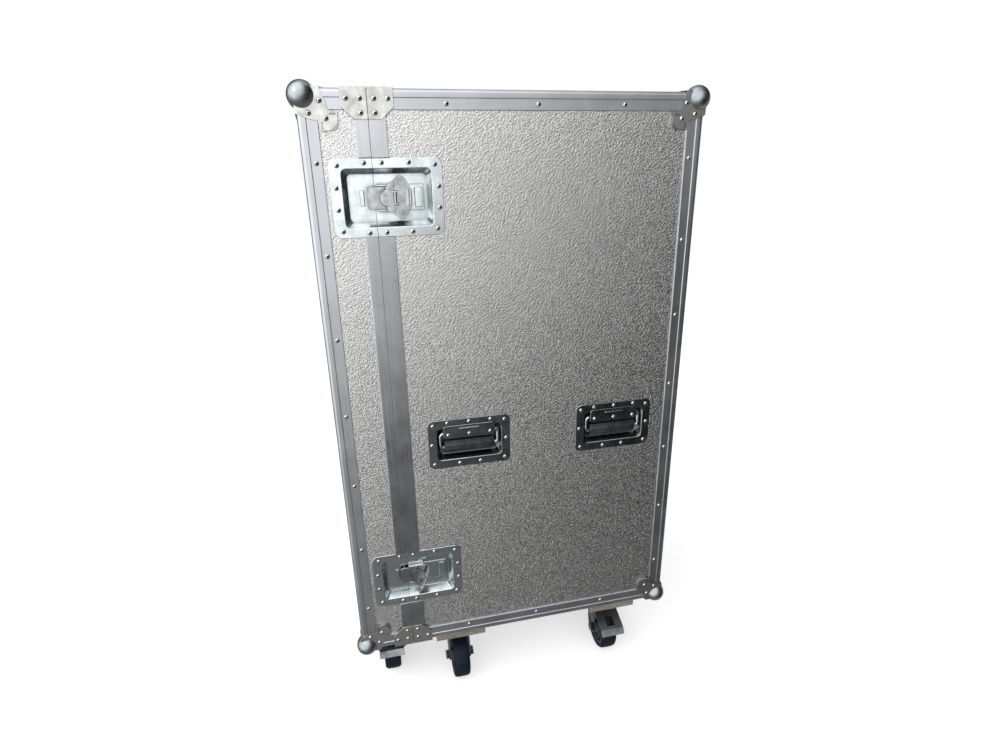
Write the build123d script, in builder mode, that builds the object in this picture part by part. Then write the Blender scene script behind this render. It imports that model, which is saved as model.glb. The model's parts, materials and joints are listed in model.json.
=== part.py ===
"""Upright hard equipment case on castors, with a hinged end lid, as separate pieces.

X runs along the case, -Y is the latch side, +Z is up and the floor is at Z = 0.
"""

from build123d import *
import os
from math import cos, radians, sin

os.makedirs("parts", exist_ok=True)

# Case outline
case_width = 668
case_height = 1051
case_depth = 500
lid_thickness = 104

# Sheet, panels and extrusions
skin = 3
panel_thickness = 7
wall = skin + panel_thickness
angle_leg = 30
band_width = 13
step_depth = 1.2
corner_trim = 32
lid_rail_width = 20.5
body_rail_width = 26.5
rail_web = 6
rail_depth = 12
rail_step = 18
tongue_depth = 4
mitre_gap = 0.1
sheet = 1.5

# Corners and braces
ball_radius = 21.5
ball_inset = 10
leg_reach = 36
brace_reach = 39.5
brace_height = 44

# Castors
wheel_radius = 50
wheel_width = 36
tread_rounding = 5
tread_inside = 37
face_recess = 7
boss_radius = 14
boss_step = 3
castor_height = 139
board_thickness = 18
castor_trail = 37
board_width = {"body": 106, "lid": 84}
board_gap = {"body": 8, "lid": 60}
leg_inside = 21
leg_thickness = 3
axle_head = 7
axle_radius = 5.9
axle_gap = 0.15
crown_bottom = 118
crown_top = 123.6
crown_radius = 30
race_radius = 29
race_gap = 0.4
plate_thickness = 3
bolt_head = 5
kingpin_radius = 6
kingpin_head = 4.6
mount_plate_x = 80
mount_plate_y = 100
bolt_spacing_x = 56
bolt_spacing_y = 76
brake_pivot_y = -30
brake_pivot_z = 108
brake_reach = 104

# Latches, measured outwards from the pocket floor
pocket_depth = 14
flange_corner = 12
pocket_corner = 8
latch_flange = (176, 120)
latch_opening = (139, 88)
latch_floor = (125, 74)
hub_along = 125
latch_heights = {"top": 893, "bottom": 163.5}
latch_turns = {"top": 0, "bottom": 20}
cam_throw = 4
hook_travel = 2 * cam_throw
hook_level = 5.2
hook_thickness = 2.5
hub_level = 8
hub_radius = 13
hub_thickness = 4
ear_inside = 8
ear_outside = 10.6
guide_inside = 17.6
wing_pin_along = 11
wing_pin_level = 10.5
wing_reach = 26
wing_thickness = 2
roll_radius = 1.9
roll_inset = 1.5

# Handles
handle_height = 449
handle_alongs = {"left": 240, "right": 530}
handle_flange = (157, 99)
handle_opening = (122, 64)
handle_floor = (112, 54)
bail_half_width = 55
bail_pivot_up = 19
grip_up = -8
rod_radius = 3.5
rod_level = -5
grip_half_length = 48.5

# Foam
foam_thickness = 14
foam_gap = 3

# Hinges
hinge_offset = 6
knuckle_radius = 6
hinge_pin_radius = 2.5
leaf_width = 40
leaf_height = 72
leaf_thickness = 2
hinge_heights = (150, 525, 900)

# Rivets
rivet_radius = 4
rivet_height = 1.6
rivet_line = 21
mandrel_radius = 1.3

# Placement: the whole box is centred on the origin in X and Y
case_bottom = castor_height + board_thickness
case_top = case_bottom + case_height
left = -case_width / 2
right = case_width / 2
split_x = left + lid_thickness
castor_inset = 94
lid_castor_along = 56
lid_castor_inset = 155
left_castor_along = 102
right_castor_along = 114
front_reach = wing_reach - roll_inset + roll_radius + wing_pin_level - pocket_depth - skin
back_reach = hinge_offset + knuckle_radius
front = -(case_depth + back_reach - front_reach) / 2
back = front + case_depth
mid_depth = Plane(origin=(0, (front + back) / 2, 0), z_dir=(0, 1, 0))
mid_height = Plane(origin=(0, 0, (case_bottom + case_top) / 2), z_dir=(0, 0, 1))

castor_places = {
    "lid_front": (left + lid_castor_along, front + lid_castor_inset),
    "lid_back": (left + lid_castor_along, back - lid_castor_inset),
    "body_front_left": (split_x + left_castor_along, front + castor_inset),
    "body_front_right": (right - right_castor_along, front + castor_inset),
    "body_back_left": (split_x + left_castor_along, back - castor_inset),
    "body_back_right": (right - right_castor_along, back - castor_inset),
}
braked_castors = ("lid_front", "body_front_right")


def save(builder, name):
    """Label a finished piece and write its file."""
    builder.part.label = name
    export_step(builder.part, f"parts/{name}.step")


def block(low, high, mode=Mode.ADD):
    """Add or cut a box given by its lowest and highest corners."""
    size = Vector(*high) - Vector(*low)
    with Locations(Vector(*low) + size / 2):
        Box(size.X, size.Y, size.Z, mode=mode)


def front_face(along, up):
    """Plane on the front panel, X to the right, Y up, Z out of the case."""
    origin = (left + along, front + skin, case_bottom + up)
    return Plane(origin=origin, x_dir=(1, 0, 0), z_dir=(0, -1, 0))


def back_face(along, up):
    """Plane on the back panel, Y up, Z out of the case."""
    origin = (left + along, back - skin, case_bottom + up)
    return Plane(origin=origin, x_dir=(-1, 0, 0), z_dir=(0, 1, 0))


def cut_window(plane, size):
    """Cut the opening that a recessed dish drops into."""
    with BuildSketch(plane.offset(1)) as window:
        RectangleRounded(size[0] + 2 * sheet, size[1] + 2 * sheet, pocket_corner)
    extrude(window.sketch, amount=-(pocket_depth + 2 * sheet + 1), mode=Mode.SUBTRACT)


# --- panels


def long_panel(outer_side, start, end, latches, handles):
    """A front or back panel between two X positions."""
    low_y = front + skin if outer_side == "front" else back - wall
    face = front_face if outer_side == "front" else back_face
    with BuildPart() as panel:
        block((start, low_y, case_bottom + wall), (end, low_y + panel_thickness, case_top - wall))
        if latches:
            for up in latch_heights.values():
                cut_window(face(hub_along, up), latch_opening)
        if handles:
            for along in handle_alongs.values():
                cut_window(face(along, handle_height), handle_opening)
    return panel


def level_panels(start, end):
    """The top and bottom panels between two X positions."""
    with BuildPart() as panels:
        low_z = case_bottom + skin
        block((start, front + skin, low_z), (end, back - skin, low_z + panel_thickness))
        mirror(about=mid_height)
    return panels


def end_panel(low_x):
    """A full-size panel that closes one end."""
    with BuildPart() as panel:
        low = (low_x, front + skin, case_bottom + skin)
        block(low, (low_x + panel_thickness, back - skin, case_top - skin))
    return panel


# --- extrusions


def angle_bar(middle, inward_1, inward_2, length):
    """One rounded edge angle with a raised band and a stepped riveting flange on each leg."""
    along = Vector(*inward_1).cross(Vector(*inward_2))
    plane = Plane(origin=middle, x_dir=inward_1, z_dir=along)
    rounding = 6
    tip = rounding * (1 - cos(radians(45)))
    with BuildSketch(plane) as section:
        with BuildLine():
            ThreePointArc((0, rounding), (tip, tip), (rounding, 0))
            Polyline(
                (rounding, 0),
                (band_width, 0),
                (band_width, step_depth),
                (angle_leg, step_depth),
                (angle_leg, skin),
                (skin, skin),
                (skin, angle_leg),
                (step_depth, angle_leg),
                (step_depth, band_width),
                (0, band_width),
                (0, rounding),
            )
        make_face()
    extrude(section.sketch, amount=length / 2, both=True)


def edge_angles(outer_x, inward_x, rail_x):
    """The eight angles round one half of the case: along Z, along Y and along X."""
    mid_y = (front + back) / 2
    mid_z = (case_bottom + case_top) / 2
    bar_end = outer_x + inward_x * corner_trim
    with BuildPart() as angles:
        inward = (inward_x, 0, 0)
        angle_bar((outer_x, front, mid_z), inward, (0, 1, 0), case_height - 2 * corner_trim)
        angle_bar((outer_x, mid_y, case_bottom), inward, (0, 0, 1), case_depth - 2 * corner_trim)
        middle = ((bar_end + rail_x) / 2, front, case_bottom)
        angle_bar(middle, (0, 1, 0), (0, 0, 1), abs(rail_x - bar_end))
        mirror(about=mid_depth)
        mirror(about=mid_height)
    return angles


def rail_profile(width, has_tongue):
    """Section of a split rail: X away from the split, Y from the outer face inwards."""
    groove_low, groove_high = 4, 9
    with BuildLine() as outline:
        Polyline(
            (0, 0),
            (width, 0),
            (width, skin),
            (rail_web, skin),
            (rail_web, wall),
            (rail_step, wall),
            (rail_step, rail_depth),
            (0, rail_depth),
            close=True,
        )
    make_face(outline.edges())
    if has_tongue:
        with Locations((-tongue_depth / 2 + 1, (groove_low + groove_high) / 2)):
            Rectangle(tongue_depth + 2, groove_high - groove_low - 2)
    else:
        with Locations((tongue_depth / 2, (groove_low + groove_high) / 2)):
            Rectangle(tongue_depth + 1, groove_high - groove_low, mode=Mode.SUBTRACT)


def mitred_rail(away_x, inward, middle, length, width, has_tongue):
    """One straight rail, mitred at both ends."""
    inward = Vector(*inward)
    along = Vector(away_x, 0, 0).cross(inward)
    with BuildPart() as rail:
        with BuildSketch(Plane(origin=middle, x_dir=(away_x, 0, 0), z_dir=along)):
            rail_profile(width, has_tongue)
        extrude(amount=length / 2, both=True)
        for side in (-1, 1):
            end = Vector(*middle) + along * (side * (length / 2 - mitre_gap))
            mitre = Plane(origin=end, z_dir=inward + along * side)
            split(bisect_by=mitre, keep=Keep.BOTTOM)
    return rail.part


def split_rails(away_x, width, has_tongue):
    """The four mitred rails round the opening, notched for the latch dishes."""
    mid_y = (front + back) / 2
    mid_z = (case_bottom + case_top) / 2
    sides = (
        ((0, 1, 0), (split_x, front, mid_z), case_height),
        ((0, -1, 0), (split_x, back, mid_z), case_height),
        ((0, 0, 1), (split_x, mid_y, case_bottom), case_depth),
        ((0, 0, -1), (split_x, mid_y, case_top), case_depth),
    )
    bars = [mitred_rail(away_x, *side, width, has_tongue) for side in sides]
    with BuildPart() as rails:
        add(bars)
        for up in latch_heights.values():
            half = latch_opening[1] / 2 + 2 * sheet
            low = (split_x - 30, front + skin - 0.01, case_bottom + up - half)
            high = (split_x + 30, front + 30, case_bottom + up + half)
            block(low, high, Mode.SUBTRACT)
            flange_half = latch_flange[1] / 2
            low = (split_x - 30, front - 1, case_bottom + up - flange_half)
            high = (split_x + 30, front + skin, case_bottom + up + flange_half)
            block(low, high, Mode.SUBTRACT)
    return rails


# --- corner hardware


def corner_plate(plane):
    """One three-sided leg plate of a ball corner, with a lobe on the panel."""
    edge = -sheet
    with BuildSketch(plane.offset(sheet)) as legs:
        with BuildLine():
            Polyline(
                (59, 44),
                (59, 32),
                (45, 30),
                (43, 18),
                (leg_reach, edge),
                (edge, edge),
                (edge, leg_reach),
                (18, 43),
                (30, 45),
                (32, 59),
                (44, 59),
            )
            RadiusArc((44, 59), (59, 44), 16)
        make_face()
    extrude(legs.sketch, amount=-sheet)
    with BuildSketch(plane) as lobe:
        with Locations((45.5, 45.5)):
            RectangleRounded(27, 27, 10)
    extrude(lobe.sketch, amount=-skin)
    with BuildSketch(plane.offset(sheet)) as slots:
        with Locations((52, 36)):
            Rectangle(9, 2.5)
        with Locations((36, 52)):
            Rectangle(2.5, 9)
    extrude(slots.sketch, amount=-1, mode=Mode.SUBTRACT)


def ball_corners():
    """The four ball corners of the lid half."""
    corner = Vector(left, front, case_bottom)
    with BuildPart() as corners:
        corner_plate(Plane(origin=corner, x_dir=(1, 0, 0), z_dir=(0, -1, 0)))
        corner_plate(Plane(origin=corner, x_dir=(0, 1, 0), z_dir=(0, 0, -1)))
        corner_plate(Plane(origin=corner, x_dir=(0, 0, 1), z_dir=(-1, 0, 0)))
        with Locations(corner + Vector(1, 1, 1) * ball_inset):
            Sphere(ball_radius)
        block(corner + Vector(1, 1, 1) * skin, corner + Vector(1, 1, 1) * 70, Mode.SUBTRACT)
        mirror(about=mid_depth)
        mirror(about=mid_height)
    return corners


def split_braces(away_x):
    """L-shaped braces that wrap the case edges beside the split."""
    corner = (split_x, front, case_bottom)
    planes = (
        (Plane(origin=corner, x_dir=(away_x, 0, 0), z_dir=(0, -1, 0)), away_x),
        (Plane(origin=corner, x_dir=(away_x, 0, 0), z_dir=(0, 0, -1)), -away_x),
    )
    with BuildPart() as braces:
        for plane, up in planes:
            with BuildSketch(plane):
                with BuildLine():
                    Polyline(
                        (0.3, -sheet * up),
                        (brace_reach, -sheet * up),
                        (brace_reach, 26 * up),
                        (brace_reach / 2, brace_height * up),
                        (0.3, brace_height * up),
                        close=True,
                    )
                make_face()
            extrude(amount=sheet)
        mirror(about=mid_depth)
        mirror(about=mid_height)
    return braces


# --- recessed dishes


def dish(plane, flange, opening, floor):
    """Pressed dish: flange on the panel and a sloped pocket behind it."""
    with BuildSketch(plane) as rim:
        RectangleRounded(*flange, flange_corner)
    extrude(rim.sketch, amount=sheet)
    with BuildSketch(plane) as outer_top:
        RectangleRounded(opening[0] + 2 * sheet, opening[1] + 2 * sheet, pocket_corner)
    with BuildSketch(plane.offset(-pocket_depth - sheet)) as outer_floor:
        RectangleRounded(floor[0] + 2 * sheet, floor[1] + 2 * sheet, pocket_corner)
    loft([outer_top.sketch, outer_floor.sketch])
    with BuildSketch(plane.offset(sheet)) as inner_top:
        RectangleRounded(opening[0] + sheet, opening[1] + sheet, pocket_corner)
    with BuildSketch(plane.offset(-pocket_depth)) as inner_floor:
        RectangleRounded(*floor, pocket_corner - 1)
    loft([inner_top.sketch, inner_floor.sketch], mode=Mode.SUBTRACT)


def floor_block(plane, low, high):
    """A block on a pocket floor, levels measured outwards from the floor."""
    with BuildSketch(plane.offset(low[2] - pocket_depth)) as base:
        with Locations(((low[0] + high[0]) / 2, (low[1] + high[1]) / 2)):
            Rectangle(high[0] - low[0], high[1] - low[1])
    extrude(base.sketch, amount=high[2] - low[2])


def latch_half(half, height_name):
    """The lid or body half of one latch dish with its keeper or its guides."""
    plane = front_face(hub_along, latch_heights[height_name])
    with BuildPart() as piece:
        dish(plane, latch_flange, latch_opening, latch_floor)
        cut = Plane(origin=(split_x, 0, 0), z_dir=(1, 0, 0))
        if half == "lid":
            split(bisect_by=cut, keep=Keep.BOTTOM)
            floor_block(plane, (-28, -16, 0), (-25.5, 16, 3.6))
            floor_block(plane, (-44, -12, 0), (-38, 12, 1.2))
        else:
            split(bisect_by=cut, keep=Keep.TOP)
            floor_block(plane, (-18, -20, 0), (57, 20, 1.5))
            with BuildSketch(plane.offset(-pocket_depth)):
                Circle(3.9)
            extrude(amount=3, mode=Mode.SUBTRACT)
            for side in (-1, 1):
                low_up, high_up = sorted((side * guide_inside, side * 20))
                floor_block(plane, (-18, low_up, 1.5), (12, high_up, 7.4))
            floor_block(plane, (43, -15, 1.5), (54, 15, 3))
    return piece.part


def latch_dishes(half):
    """Both latch dish halves of the lid or of the body."""
    halves = [latch_half(half, name) for name in latch_heights]
    with BuildPart() as dishes:
        add(halves)
    return dishes


# --- latches


def hub_plane(name, turn):
    """Plane on the pocket floor at a latch hub, turned about the hub."""
    origin = front_face(hub_along, latch_heights[name]).offset(-pocket_depth).origin
    angle = radians(turn)
    return Plane(origin=origin, x_dir=(cos(angle), 0, -sin(angle)), z_dir=(0, -1, 0))


def latch_cam(name):
    """Hub with an eccentric below it and two ears that hold the wing's pin."""
    plane = hub_plane(name, latch_turns[name])
    with BuildPart() as cam:
        with BuildSketch(plane.offset(0.3)):
            Circle(3.5)
        extrude(amount=2)
        with BuildSketch(plane.offset(2)):
            with Locations((cam_throw, 0)):
                Circle(5)
        extrude(amount=hub_level - 2)
        with BuildSketch(plane.offset(hub_level)):
            Circle(hub_radius)
            with Locations((8 + ear_inside, 0)):
                Rectangle(16, 2 * ear_inside, mode=Mode.SUBTRACT)
        extrude(amount=hub_thickness)
        with BuildSketch(plane.offset(hub_level)):
            for side in (-1, 1):
                with Locations((8, side * (ear_inside + ear_outside) / 2)):
                    Rectangle(12, ear_outside - ear_inside)
        extrude(amount=hub_thickness + 0.5)
        shoulder = ((-4, 9), (-3, 17), (0, 20.5), (8.8, 26.5), (8.8, 11.4), (4, 9))
        with BuildSketch(plane.offset(wing_pin_level - wing_thickness / 2)):
            for side in (-1, 1):
                with BuildLine():
                    Polyline(*[(x, side * y) for x, y in shoulder], close=True)
                make_face()
        extrude(amount=wing_thickness)
        pin_start = plane.from_local_coords((wing_pin_along, -ear_outside, wing_pin_level))
        with BuildSketch(Plane(origin=pin_start, z_dir=plane.y_dir)):
            Circle(1.2)
        extrude(amount=2 * ear_outside)
        with BuildSketch(plane.offset(hub_level + hub_thickness)):
            with Locations((-4, 4), (-4, -4)):
                Circle(1.6)
        extrude(amount=0.8)
    return cam


def latch_hook(name):
    """Sliding hook plate with a slot round the eccentric and a claw over the keeper."""
    slide = -hook_travel * latch_turns[name] / 180
    plane = hub_plane(name, 0)
    with BuildPart() as hook:
        with BuildSketch(plane.offset(hook_level)):
            with Locations((slide - 10, 0)):
                RectangleRounded(46, 34, 4)
            with Locations((slide + cam_throw, -2)):
                RectangleRounded(12.4, 17, 4, mode=Mode.SUBTRACT)
        extrude(amount=hook_thickness)
        with BuildSketch(plane.offset(4)):
            with Locations((slide - 31.5, 0)):
                Rectangle(3, 26)
        extrude(amount=hook_level - 4)
    return hook


def latch_wing(name, folded_out):
    """Butterfly wing with two lobes, a rolled edge and a knuckle on the hub's pin."""
    hub = hub_plane(name, latch_turns[name])
    pin = hub.from_local_coords((wing_pin_along, 0, wing_pin_level))
    if folded_out:
        plane = Plane(origin=pin, x_dir=hub.z_dir, z_dir=-hub.x_dir)
    else:
        plane = Plane(origin=pin, x_dir=hub.x_dir, z_dir=hub.z_dir)
    root = ((0, 7.6), (4.6, 7.6), (4.6, 11.8), (-1.6, 11.8), (-1.6, 27))
    lobe = ((5.5, 33), (9, 34.8), (13.5, 32.5), (19, 26.5), (wing_reach, 14))
    half_outline = root + lobe
    outline = [(x, -y) for x, y in half_outline] + list(reversed(half_outline))
    with BuildPart() as wing:
        with BuildSketch(plane.offset(-wing_thickness / 2)):
            with BuildLine():
                Polyline(*outline, close=True)
            make_face()
            with Locations((19.5, 0)):
                RectangleRounded(5, 26, 2, mode=Mode.SUBTRACT)
        extrude(amount=wing_thickness)
        with BuildSketch(plane.offset(wing_thickness / 2)):
            with Locations((8.5, 23), (8.5, -23)):
                Circle(4)
        extrude(amount=-0.7, mode=Mode.SUBTRACT)
        start = plane.from_local_coords((0, -7.6, 0))
        with BuildSketch(Plane(origin=start, z_dir=plane.y_dir)):
            Circle(2.6)
        extrude(amount=15.2)
        with BuildSketch(Plane(origin=start, z_dir=plane.y_dir)):
            Circle(1.5)
        extrude(amount=15.2, mode=Mode.SUBTRACT)
        roll_start = plane.from_local_coords((wing_reach - roll_inset, -12, 0.4))
        with BuildSketch(Plane(origin=roll_start, z_dir=plane.y_dir)):
            Circle(roll_radius)
        extrude(amount=24)
    return wing


# --- handles


def handle_planes():
    """Name and face plane of each handle."""
    places = {}
    for side, face in (("front", front_face), ("back", back_face)):
        for name, along in handle_alongs.items():
            places[f"{side}_{name}"] = face(along, handle_height)
    return places


def handle_dishes():
    with BuildPart() as dishes:
        for plane in handle_planes().values():
            dish(plane, handle_flange, handle_opening, handle_floor)
    return dishes


def handle_straps():
    """Straps over the bail pivots, each with a raised lip, and the saddles under the pivots."""
    with BuildPart() as straps:
        for plane in handle_planes().values():
            with BuildSketch(plane.offset(sheet)):
                with Locations((0, 24)):
                    RectangleRounded(98, 26, 5)
            extrude(amount=sheet)
            with BuildSketch(plane.offset(2 * sheet)):
                with Locations((0, 30)):
                    Rectangle(37, 3)
            extrude(amount=sheet)
            with BuildSketch(plane.offset(-pocket_depth)):
                with Locations((-36, bail_pivot_up), (36, bail_pivot_up)):
                    Rectangle(12, 6)
            extrude(amount=pocket_depth + rod_level - rod_radius - 0.3)
    return straps


def handle_bail(plane):
    """Closed wire loop whose upper bar is the pivot."""
    corners = (
        (bail_half_width, bail_pivot_up),
        (bail_half_width, grip_up),
        (-bail_half_width, grip_up),
        (-bail_half_width, bail_pivot_up),
    )
    with BuildPart() as bail:
        with BuildLine(plane.offset(rod_level)) as loop:
            FilletPolyline(*corners, radius=6, close=True)
        start = Plane(origin=loop.line @ 0, z_dir=loop.line % 0)
        with BuildSketch(start):
            Circle(rod_radius)
        sweep()
    return bail


def handle_grip(plane):
    """Oval ribbed rubber grip round the lower bar."""
    start = plane.from_local_coords((-grip_half_length, grip_up, rod_level))
    section = Plane(origin=start, x_dir=plane.y_dir, z_dir=plane.x_dir)
    with BuildPart() as grip:
        with BuildSketch(section):
            Ellipse(13, 7.6)
            Circle(rod_radius, mode=Mode.SUBTRACT)
        extrude(amount=2 * grip_half_length)
    return grip


# --- hinges


def hinge_leaves(away_x):
    """Leaves of the three hinges: outer knuckles on the body, the middle one on the lid."""
    on_body = away_x > 0
    third = leaf_height / 3
    pin_y = back + hinge_offset
    bore = hinge_pin_radius if on_body else hinge_pin_radius + 0.4
    spans = ((-leaf_height / 2, -third / 2 - 0.3), (third / 2 + 0.3, leaf_height / 2))
    if not on_body:
        spans = ((-third / 2, third / 2),)
    with BuildPart() as leaves:
        for up in hinge_heights:
            middle = case_bottom + up
            low_x, high_x = sorted((split_x + away_x * 7, split_x + away_x * leaf_width))
            low = (low_x, back, middle - leaf_height / 2)
            block(low, (high_x, back + leaf_thickness, middle + leaf_height / 2))
            for low_z, high_z in spans:
                near, far = sorted((split_x, split_x + away_x * 8))
                low = (near, back, middle + low_z)
                block(low, (far, back + leaf_thickness, middle + high_z))
                with BuildSketch(Plane(origin=(split_x, pin_y, middle + low_z))):
                    Circle(knuckle_radius)
                extrude(amount=high_z - low_z)
            with BuildSketch(Plane(origin=(split_x, pin_y, middle - leaf_height / 2))):
                Circle(bore)
            extrude(amount=leaf_height, mode=Mode.SUBTRACT)
    return leaves


def hinge_pins():
    with BuildPart() as pins:
        for up in hinge_heights:
            low = case_bottom + up - leaf_height / 2
            with BuildSketch(Plane(origin=(split_x, back + hinge_offset, low))):
                Circle(hinge_pin_radius)
            extrude(amount=leaf_height)
    return pins


# --- castors


def castor_boards(middle_x, half):
    """Plywood boards that carry the castors, one for each X position."""
    side = board_width[half] / 2
    with BuildPart() as boards:
        for x in middle_x:
            low = (x - side, front + board_gap[half], castor_height)
            block(low, (x + side, back - board_gap[half], case_bottom))
    return boards


def castor_plates(places):
    """Mounting plates with the fixed race of the swivel."""
    with BuildPart() as plates:
        for x, y in places:
            with BuildSketch(Plane(origin=(x, y, castor_height - plate_thickness))):
                RectangleRounded(mount_plate_x, mount_plate_y, 8)
            extrude(amount=plate_thickness)
            race_bottom = crown_top + race_gap
            with BuildSketch(Plane(origin=(x, y, race_bottom))):
                Circle(race_radius)
            extrude(amount=castor_height - plate_thickness - race_bottom, taper=-8)
    return plates


def castor_fasteners(places):
    """Kingpins and the bolts that hold the plates to the boards."""
    with BuildPart() as fasteners:
        for x, y in places:
            pin_bottom = crown_bottom - race_gap
            with BuildSketch(Plane(origin=(x, y, pin_bottom - kingpin_head))):
                Circle(10)
            extrude(amount=kingpin_head)
            with BuildSketch(Plane(origin=(x, y, pin_bottom))):
                Circle(kingpin_radius)
            extrude(amount=crown_top + race_gap - pin_bottom)
            with BuildSketch(Plane(origin=(x, y, castor_height - plate_thickness - bolt_head))):
                with GridLocations(bolt_spacing_x, bolt_spacing_y, 2, 2):
                    RegularPolygon(7, 6)
            extrude(amount=bolt_head)
    return fasteners


def castor_fork(x, y):
    """Swivelling fork with its axle bolt."""
    axle = (y - castor_trail, wheel_radius)
    with BuildPart() as fork:
        with BuildSketch(Plane(origin=(x, y, crown_bottom))):
            Circle(crown_radius)
            Rectangle(2 * (leg_inside + leg_thickness), 44)
            Circle(kingpin_radius + 0.4, mode=Mode.SUBTRACT)
        extrude(amount=crown_top - crown_bottom)
        for low_x in (-leg_inside - leg_thickness, leg_inside):
            with BuildSketch(Plane(origin=(x + low_x, 0, 0), x_dir=(0, 1, 0), z_dir=(1, 0, 0))):
                with BuildLine():
                    Polyline(
                        (y - 22, crown_bottom + 1),
                        (y + 22, crown_bottom + 1),
                        (y + 16, crown_bottom - 14),
                        (axle[0] + 11, axle[1] - 7),
                        (axle[0] - 12, axle[1] - 4),
                        (axle[0] - 12, axle[1] + 8),
                        (y - 34, crown_bottom - 4),
                        close=True,
                    )
                make_face()
                with Locations(axle):
                    Circle(13)
                    Circle(axle_radius + axle_gap, mode=Mode.SUBTRACT)
            extrude(amount=leg_thickness)
        leg_outside = leg_inside + leg_thickness + axle_gap
        nut_end = Plane(origin=(x - leg_outside - axle_head, *axle), z_dir=(1, 0, 0))
        head_start = Plane(origin=(x + leg_outside, *axle), z_dir=(1, 0, 0))
        with BuildSketch(nut_end, head_start):
            RegularPolygon(9.5, 6)
        extrude(amount=axle_head)
        with BuildSketch(nut_end.offset(axle_head - 1)):
            Circle(axle_radius)
        extrude(amount=2 * leg_outside + 2)
    return fork


def castor_wheel(x, y):
    """Wheel with a rounded tread and recessed faces."""
    axis = Plane(origin=(x - wheel_width / 2, y - castor_trail, wheel_radius), z_dir=(1, 0, 0))
    with BuildPart() as wheel:
        with BuildSketch(axis):
            Circle(wheel_radius)
        extrude(amount=wheel_width)
        fillet(wheel.edges().filter_by(GeomType.CIRCLE), tread_rounding)
        for plane, depth in ((axis, face_recess), (axis.offset(wheel_width), -face_recess)):
            with BuildSketch(plane):
                Circle(tread_inside)
                Circle(boss_radius, mode=Mode.SUBTRACT)
            extrude(amount=depth, mode=Mode.SUBTRACT)
        with BuildSketch(axis.offset(-boss_step)):
            Circle(boss_radius)
        extrude(amount=wheel_width + boss_step + 2)
        with BuildSketch(axis.offset(-boss_step - 1)):
            Circle(axle_radius + 0.4)
        extrude(amount=wheel_width + 2 * boss_step + 2, mode=Mode.SUBTRACT)
    return wheel


def brake_pedal(x, y):
    """Pressed brake pedal with a window and a turned-down lip, in front of the wheel."""
    plane = Plane(origin=(x, y, 0), x_dir=(0, 1, 0), z_dir=(1, 0, 0))
    with BuildPart() as pedal:
        with BuildSketch(plane.offset(-27)):
            with BuildLine():
                Polyline(
                    (-38, 114),
                    (-64, 103),
                    (-96, 90),
                    (-brake_reach, 78),
                    (2 - brake_reach, 77),
                    (-94.5, 88),
                    (-64.5, 100.5),
                    (-39, 111.5),
                    close=True,
                )
            make_face()
        extrude(amount=54)
        with BuildSketch(Plane(origin=(x, y - 78, 60))):
            Rectangle(18, 22)
        extrude(amount=60, mode=Mode.SUBTRACT)
        for low_x in (-27, 25):
            with BuildSketch(plane.offset(low_x)):
                with BuildLine():
                    Polyline(
                        (brake_pivot_y + 6, brake_pivot_z + 4),
                        (-38, 114),
                        (-64, 103),
                        (-64, 95),
                        (brake_pivot_y + 6, brake_pivot_z - 6),
                        close=True,
                    )
                make_face()
                with Locations((brake_pivot_y, brake_pivot_z)):
                    Circle(3.4, mode=Mode.SUBTRACT)
            extrude(amount=2)
    return pedal


def add_brake_pins(fork, x, y):
    """Stub pins on the fork legs that carry the brake pedal."""
    with BuildPart() as braked_fork:
        add(fork.part)
        for low_x in (-leg_inside - leg_thickness - 4, leg_inside + leg_thickness):
            origin = (x + low_x, y + brake_pivot_y, brake_pivot_z)
            with BuildSketch(Plane(origin=origin, z_dir=(1, 0, 0))):
                Circle(3)
            extrude(amount=4)
    return braked_fork


# --- lining


def foam_lining():
    """Foam on the body's front, back, top, bottom and end walls."""
    clear = pocket_depth + 2 * sheet + foam_thickness
    play = 8
    with BuildPart() as lining:
        low = Vector(split_x + 20, front + wall + foam_gap, case_bottom + wall)
        high = Vector(right - wall, back - wall - foam_gap, case_top - wall)
        block(low, high)
        inset = Vector(0, foam_thickness, foam_thickness)
        hollow_end = high - inset - Vector(foam_thickness, 0, 0)
        block(low + inset - Vector(1, 0, 0), hollow_end, Mode.SUBTRACT)
        for up in latch_heights.values():
            plane = front_face(hub_along, up)
            with BuildSketch(plane.offset(-wall + skin)):
                Rectangle(latch_opening[0] + play, latch_opening[1] + play)
            extrude(amount=-clear, mode=Mode.SUBTRACT)
        for plane in handle_planes().values():
            with BuildSketch(plane.offset(-wall + skin)):
                Rectangle(handle_opening[0] + play, handle_opening[1] + play)
            extrude(amount=-clear, mode=Mode.SUBTRACT)
    return lining


# --- rivets


def outer_face(side, first, second, lift):
    """Plane on one of the six outer faces, lifted outwards; the places are in axis order."""
    places = {
        "front": ((first, front, second), (0, -1, 0)),
        "back": ((first, back, second), (0, 1, 0)),
        "bottom": ((first, second, case_bottom), (0, 0, -1)),
        "top": ((first, second, case_top), (0, 0, 1)),
        "left": ((left, first, second), (-1, 0, 0)),
        "right": ((right, first, second), (1, 0, 0)),
    }
    origin, normal = places[side]
    return Plane(origin=origin, z_dir=normal).offset(lift)


def rivet_head():
    """Domed rivet head with the hollow left by its mandrel."""
    with BuildPart() as head:
        Cylinder(rivet_radius, rivet_height, align=(Align.CENTER, Align.CENTER, Align.MIN))
        top = head.faces().sort_by(Axis.Z)[-1]
        chamfer(top.edges(), 0.9)
        with BuildSketch(Plane.XY.offset(rivet_height)):
            Circle(mandrel_radius)
        extrude(amount=-0.8, mode=Mode.SUBTRACT)
    return head.part


def spaced(first, last, count):
    """Evenly spaced values from first to last."""
    return [first + (last - first) * step / (count - 1) for step in range(count)]


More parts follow.
